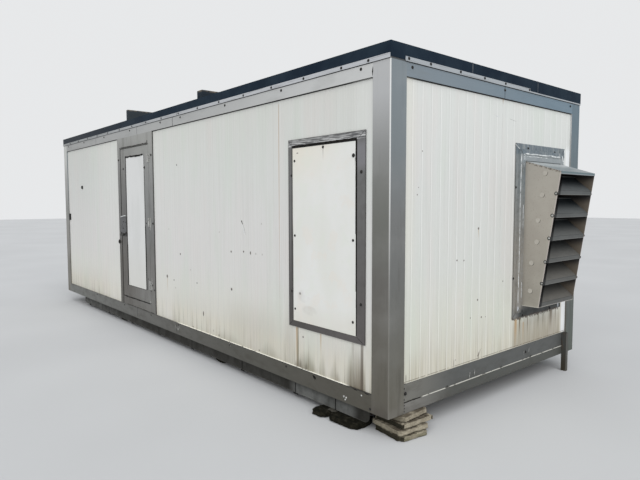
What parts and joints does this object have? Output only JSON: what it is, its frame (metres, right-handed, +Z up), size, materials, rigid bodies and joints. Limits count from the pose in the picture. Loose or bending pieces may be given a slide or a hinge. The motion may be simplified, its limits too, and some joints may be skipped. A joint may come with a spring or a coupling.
{
  "type": "portable site cabin",
  "caption": "Long single-storey steel-framed site cabin with grooved sandwich walls, an outward-opening door, a blanked window, a louvred air cowl on one end and slab supports at its corners",
  "frame": {"origin": "middle of the footprint's box, on the ground that the slabs and packers stand on", "axes": "+X along the cabin towards the louvred end, +Y from the door side to the back, +Z up"},
  "size_m": [8.367, 3.072, 3.113],
  "materials": {
    "slab_concrete": "weathered concrete",
    "packer_stone": "dark mossy rubble",
    "frame_grey": "satin grey, weathered",
    "skid_grey": "dull grey, dirty",
    "floor_board": "plain board",
    "ceiling_board": "painted board",
    "roof_board": "plain board",
    "roof_sheet": "matt dark sheet",
    "roof_strip": "mill finish",
    "roof_beam": "dark stained",
    "wall_panel": "off-white, stained towards the foot",
    "window_frame": "grey, worn",
    "window_board": "warm white",
    "cowl_flange": "dull zinc",
    "cowl_hood": "beige grey",
    "cowl_blades": "dark grey",
    "door_frame": "grey",
    "door_leaf": "grey",
    "door_panel": "white",
    "door_handle": "worn grey plate, dark lever",
    "black_plastic": "black"
  },
  "bodies": {
    "root": {"stack_front_right": "slab_concrete", "stack_front_left": "slab_concrete", "stack_back_left": "slab_concrete", "skid_packers": "packer_stone", "back_right_leg": "frame_grey", "front_skid": "skid_grey", "back_skid": "skid_grey", "front_bottom_rail": "frame_grey", "back_bottom_rail": "frame_grey", "left_bottom_rail": "frame_grey", "right_bottom_rail": "frame_grey", "floor_joists": "skid_grey", "floor_deck": "floor_board", "post_front_right": "frame_grey", "post_front_left": "frame_grey", "post_back_right": "frame_grey", "post_back_left": "frame_grey", "front_top_rail": "frame_grey", "back_top_rail": "frame_grey", "left_top_rail": "frame_grey", "right_top_rail": "frame_grey", "ceiling_board": "ceiling_board", "roof_deck": "roof_board", "roof_sheet": "roof_sheet", "roof_strips": "roof_strip", "roof_beams": "roof_beam", "front_wall_left": "wall_panel", "front_wall_middle": "wall_panel", "window_wall": "wall_panel", "back_wall": "wall_panel", "left_wall": "wall_panel", "right_wall": "wall_panel", "cowl_wall": "wall_panel", "window_frame": "window_frame", "window_board": "window_board", "cowl_flange": "cowl_flange", "cowl_hood": "cowl_hood", "cowl_blades": "cowl_blades", "door_frame": "door_frame", "door_head": "door_frame", "door_threshold": "door_frame", "door_stops": "door_frame", "hinge_pins": "door_frame", "wall_vent": "black_plastic", "cable_inlet": "black_plastic"},
    "door": {"door_leaf": "door_leaf", "door_panel": "door_panel", "hinge_leaves": "door_leaf", "door_handle": "door_handle"}
  },
  "joints": [
    {"name": "door_hinge", "type": "hinge", "parent": "root", "child": "door", "pos_m": [-0.4265, -1.504, 1.5], "axis": [0, 0, 1], "range_deg": [0, 160]}
  ]
}
